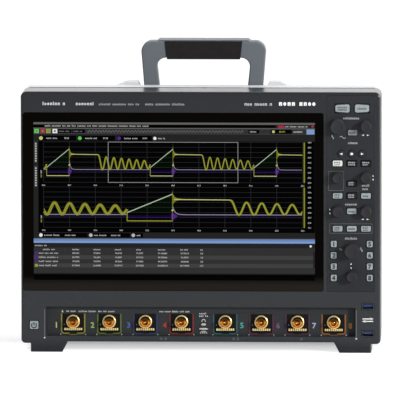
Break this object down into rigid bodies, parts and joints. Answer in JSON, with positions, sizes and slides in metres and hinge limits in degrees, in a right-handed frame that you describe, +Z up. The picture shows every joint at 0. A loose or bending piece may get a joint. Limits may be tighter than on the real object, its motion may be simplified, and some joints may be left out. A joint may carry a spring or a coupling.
{
  "type": "mixed-signal oscilloscope",
  "caption": "Bench oscilloscope: wide shallow case, large touch display, keypad of push keys and rotary knobs, row of coaxial inputs, folding carry handle and tilt legs.",
  "frame": {"origin": "on the bench, under the middle of the bounding box", "axes": "+X to the right of someone facing the display, +Y from front to back, +Z up"},
  "size_m": [0.44, 0.185, 0.376],
  "materials": {
    "dark_plastic": "fine matt texture, dark grey",
    "panel_plastic": "smooth satin, near black",
    "light_plastic": "fine matt texture, light grey",
    "handle_plastic": "satin, mid grey",
    "grip_rubber": "soft matt",
    "light_key": "translucent silicone look, light grey",
    "white_key": "backlit white",
    "dark_key": "satin, near black",
    "knob_plastic": "soft-touch, dark grey",
    "display_glass": "clear touch glass over a dark border",
    "display_metal": "blackened frame",
    "gold_plate": "gold-plated, polished",
    "bright_steel": "plated, bright",
    "circuit_board": "green solder mask",
    "fan_plastic": "satin black"
  },
  "bodies": {
    "case": {"front_bezel": "dark_plastic", "display_glass": "display_glass", "lcd_module": "display_metal", "keypad_panel": "panel_plastic", "keypad_board": "circuit_board", "input_panel": "panel_plastic", "input_connector_1": "gold_plate", "input_connector_2": "gold_plate", "input_connector_3": "gold_plate", "input_connector_4": "gold_plate", "input_connector_5": "gold_plate", "input_connector_6": "gold_plate", "input_connector_7": "gold_plate", "input_connector_8": "gold_plate", "usb_port_upper": "bright_steel", "usb_port_lower": "bright_steel", "rear_housing": "light_plastic", "acquisition_board": "circuit_board", "power_supply": "bright_steel", "fan_frame": "fan_plastic", "rear_connector_plate": "bright_steel"},
    "handle": {"handle_frame": "handle_plastic", "handle_grip": "grip_rubber"},
    "tilt_leg_left": {"tilt_leg_left": "dark_plastic"},
    "tilt_leg_right": {"tilt_leg_right": "dark_plastic"},
    "fan_rotor": {"fan_rotor": "fan_plastic"},
    "knob_horizontal_scale": {"knob_horizontal_scale": "knob_plastic"},
    "knob_horizontal_position": {"knob_horizontal_position": "knob_plastic"},
    "knob_entry": {"knob_entry": "knob_plastic"},
    "knob_trigger_level": {"knob_trigger_level": "knob_plastic"},
    "knob_marker_vertical": {"knob_marker_vertical": "knob_plastic"},
    "knob_marker_horizontal": {"knob_marker_horizontal": "knob_plastic"},
    "knob_vertical_scale": {"knob_vertical_scale": "knob_plastic"},
    "knob_vertical_position": {"knob_vertical_position": "knob_plastic"},
    "key_run_stop": {"key_run_stop": "light_key"},
    "key_single": {"key_single": "light_key"},
    "key_zoom": {"key_zoom": "light_key"},
    "key_navigate_back": {"key_navigate_back": "dark_key"},
    "key_navigate_stop": {"key_navigate_stop": "dark_key"},
    "key_navigate_forward": {"key_navigate_forward": "dark_key"},
    "key_touch": {"key_touch": "white_key"},
    "key_auto_scale": {"key_auto_scale": "dark_key"},
    "key_default_setup": {"key_default_setup": "dark_key"},
    "key_quick_action": {"key_quick_action": "dark_key"},
    "key_menu": {"key_menu": "light_key"},
    "key_clear_display": {"key_clear_display": "dark_key"},
    "key_trigger": {"key_trigger": "light_key"},
    "key_marker": {"key_marker": "light_key"},
    "key_math": {"key_math": "light_key"},
    "key_digital": {"key_digital": "light_key"},
    "key_reference": {"key_reference": "light_key"},
    "key_channel_1": {"key_channel_1": "light_key"},
    "key_channel_2": {"key_channel_2": "light_key"},
    "key_channel_3": {"key_channel_3": "light_key"},
    "key_channel_4": {"key_channel_4": "light_key"},
    "key_channel_5": {"key_channel_5": "light_key"},
    "key_channel_6": {"key_channel_6": "light_key"},
    "key_channel_7": {"key_channel_7": "light_key"},
    "key_channel_8": {"key_channel_8": "light_key"},
    "key_power": {"key_power": "light_key"}
  },
  "joints": [
    {"name": "handle_fold", "type": "hinge", "parent": "case", "child": "handle", "pos_m": [0, 0.025, 0.3145], "axis": [-1, 0, 0], "range_deg": [0, 90]},
    {"name": "tilt_leg_left_swing", "type": "hinge", "parent": "case", "child": "tilt_leg_left", "pos_m": [-0.1892, -0.0685, 0.0046], "axis": [-1, 0, 0], "range_deg": [0, 95]},
    {"name": "tilt_leg_right_swing", "type": "hinge", "parent": "case", "child": "tilt_leg_right", "pos_m": [0.1892, -0.0685, 0.0046], "axis": [-1, 0, 0], "range_deg": [0, 95]},
    {"name": "fan_spin", "type": "hinge", "parent": "case", "child": "fan_rotor", "pos_m": [0.112, 0.067, 0.19], "axis": [0, -1, 0], "continuous": true},
    {"name": "knob_horizontal_scale_turn", "type": "hinge", "parent": "case", "child": "knob_horizontal_scale", "pos_m": [0.1675, -0.0775, 0.2789], "axis": [0, 1, 0], "continuous": true},
    {"name": "knob_horizontal_position_turn", "type": "hinge", "parent": "case", "child": "knob_horizontal_position", "pos_m": [0.2021, -0.0775, 0.2792], "axis": [0, 1, 0], "continuous": true},
    {"name": "knob_entry_turn", "type": "hinge", "parent": "case", "child": "knob_entry", "pos_m": [0.1675, -0.0775, 0.216], "axis": [0, 1, 0], "continuous": true},
    {"name": "knob_trigger_level_turn", "type": "hinge", "parent": "case", "child": "knob_trigger_level", "pos_m": [0.2021, -0.0775, 0.216], "axis": [0, 1, 0], "continuous": true},
    {"name": "knob_marker_vertical_turn", "type": "hinge", "parent": "case", "child": "knob_marker_vertical", "pos_m": [0.1675, -0.0775, 0.1746], "axis": [0, 1, 0], "continuous": true},
    {"name": "knob_marker_horizontal_turn", "type": "hinge", "parent": "case", "child": "knob_marker_horizontal", "pos_m": [0.2021, -0.0775, 0.1746], "axis": [0, 1, 0], "continuous": true},
    {"name": "knob_vertical_scale_turn", "type": "hinge", "parent": "case", "child": "knob_vertical_scale", "pos_m": [0.1848, -0.0775, 0.1263], "axis": [0, 1, 0], "continuous": true},
    {"name": "knob_vertical_position_turn", "type": "hinge", "parent": "case", "child": "knob_vertical_position", "pos_m": [0.1848, -0.0775, 0.0944], "axis": [0, 1, 0], "continuous": true},
    {"name": "key_power_press", "type": "slide", "parent": "case", "child": "key_power", "axis": [0, 1, 0], "range_m": [0, 0.0012]},
    {"name": "key_run_stop_press", "type": "slide", "parent": "case", "child": "key_run_stop", "axis": [0, 1, 0], "range_m": [0, 0.0012]},
    {"name": "key_single_press", "type": "slide", "parent": "case", "child": "key_single", "axis": [0, 1, 0], "range_m": [0, 0.0012]},
    {"name": "key_zoom_press", "type": "slide", "parent": "case", "child": "key_zoom", "axis": [0, 1, 0], "range_m": [0, 0.0012]},
    {"name": "key_navigate_back_press", "type": "slide", "parent": "case", "child": "key_navigate_back", "axis": [0, 1, 0], "range_m": [0, 0.0012]},
    {"name": "key_navigate_stop_press", "type": "slide", "parent": "case", "child": "key_navigate_stop", "axis": [0, 1, 0], "range_m": [0, 0.0012]},
    {"name": "key_navigate_forward_press", "type": "slide", "parent": "case", "child": "key_navigate_forward", "axis": [0, 1, 0], "range_m": [0, 0.0012]},
    {"name": "key_touch_press", "type": "slide", "parent": "case", "child": "key_touch", "axis": [0, 1, 0], "range_m": [0, 0.0012]},
    {"name": "key_auto_scale_press", "type": "slide", "parent": "case", "child": "key_auto_scale", "axis": [0, 1, 0], "range_m": [0, 0.0012]},
    {"name": "key_default_setup_press", "type": "slide", "parent": "case", "child": "key_default_setup", "axis": [0, 1, 0], "range_m": [0, 0.0012]},
    {"name": "key_quick_action_press", "type": "slide", "parent": "case", "child": "key_quick_action", "axis": [0, 1, 0], "range_m": [0, 0.0012]},
    {"name": "key_menu_press", "type": "slide", "parent": "case", "child": "key_menu", "axis": [0, 1, 0], "range_m": [0, 0.0012]},
    {"name": "key_clear_display_press", "type": "slide", "parent": "case", "child": "key_clear_display", "axis": [0, 1, 0], "range_m": [0, 0.0012]},
    {"name": "key_trigger_press", "type": "slide", "parent": "case", "child": "key_trigger", "axis": [0, 1, 0], "range_m": [0, 0.0012]},
    {"name": "key_marker_press", "type": "slide", "parent": "case", "child": "key_marker", "axis": [0, 1, 0], "range_m": [0, 0.0012]},
    {"name": "key_math_press", "type": "slide", "parent": "case", "child": "key_math", "axis": [0, 1, 0], "range_m": [0, 0.0012]},
    {"name": "key_digital_press", "type": "slide", "parent": "case", "child": "key_digital", "axis": [0, 1, 0], "range_m": [0, 0.0012]},
    {"name": "key_reference_press", "type": "slide", "parent": "case", "child": "key_reference", "axis": [0, 1, 0], "range_m": [0, 0.0012]},
    {"name": "key_channel_1_press", "type": "slide", "parent": "case", "child": "key_channel_1", "axis": [0, 1, 0], "range_m": [0, 0.0012]},
    {"name": "key_channel_2_press", "type": "slide", "parent": "case", "child": "key_channel_2", "axis": [0, 1, 0], "range_m": [0, 0.0012]},
    {"name": "key_channel_3_press", "type": "slide", "parent": "case", "child": "key_channel_3", "axis": [0, 1, 0], "range_m": [0, 0.0012]},
    {"name": "key_channel_4_press", "type": "slide", "parent": "case", "child": "key_channel_4", "axis": [0, 1, 0], "range_m": [0, 0.0012]},
    {"name": "key_channel_5_press", "type": "slide", "parent": "case", "child": "key_channel_5", "axis": [0, 1, 0], "range_m": [0, 0.0012]},
    {"name": "key_channel_6_press", "type": "slide", "parent": "case", "child": "key_channel_6", "axis": [0, 1, 0], "range_m": [0, 0.0012]},
    {"name": "key_channel_7_press", "type": "slide", "parent": "case", "child": "key_channel_7", "axis": [0, 1, 0], "range_m": [0, 0.0012]},
    {"name": "key_channel_8_press", "type": "slide", "parent": "case", "child": "key_channel_8", "axis": [0, 1, 0], "range_m": [0, 0.0012]}
  ]
}
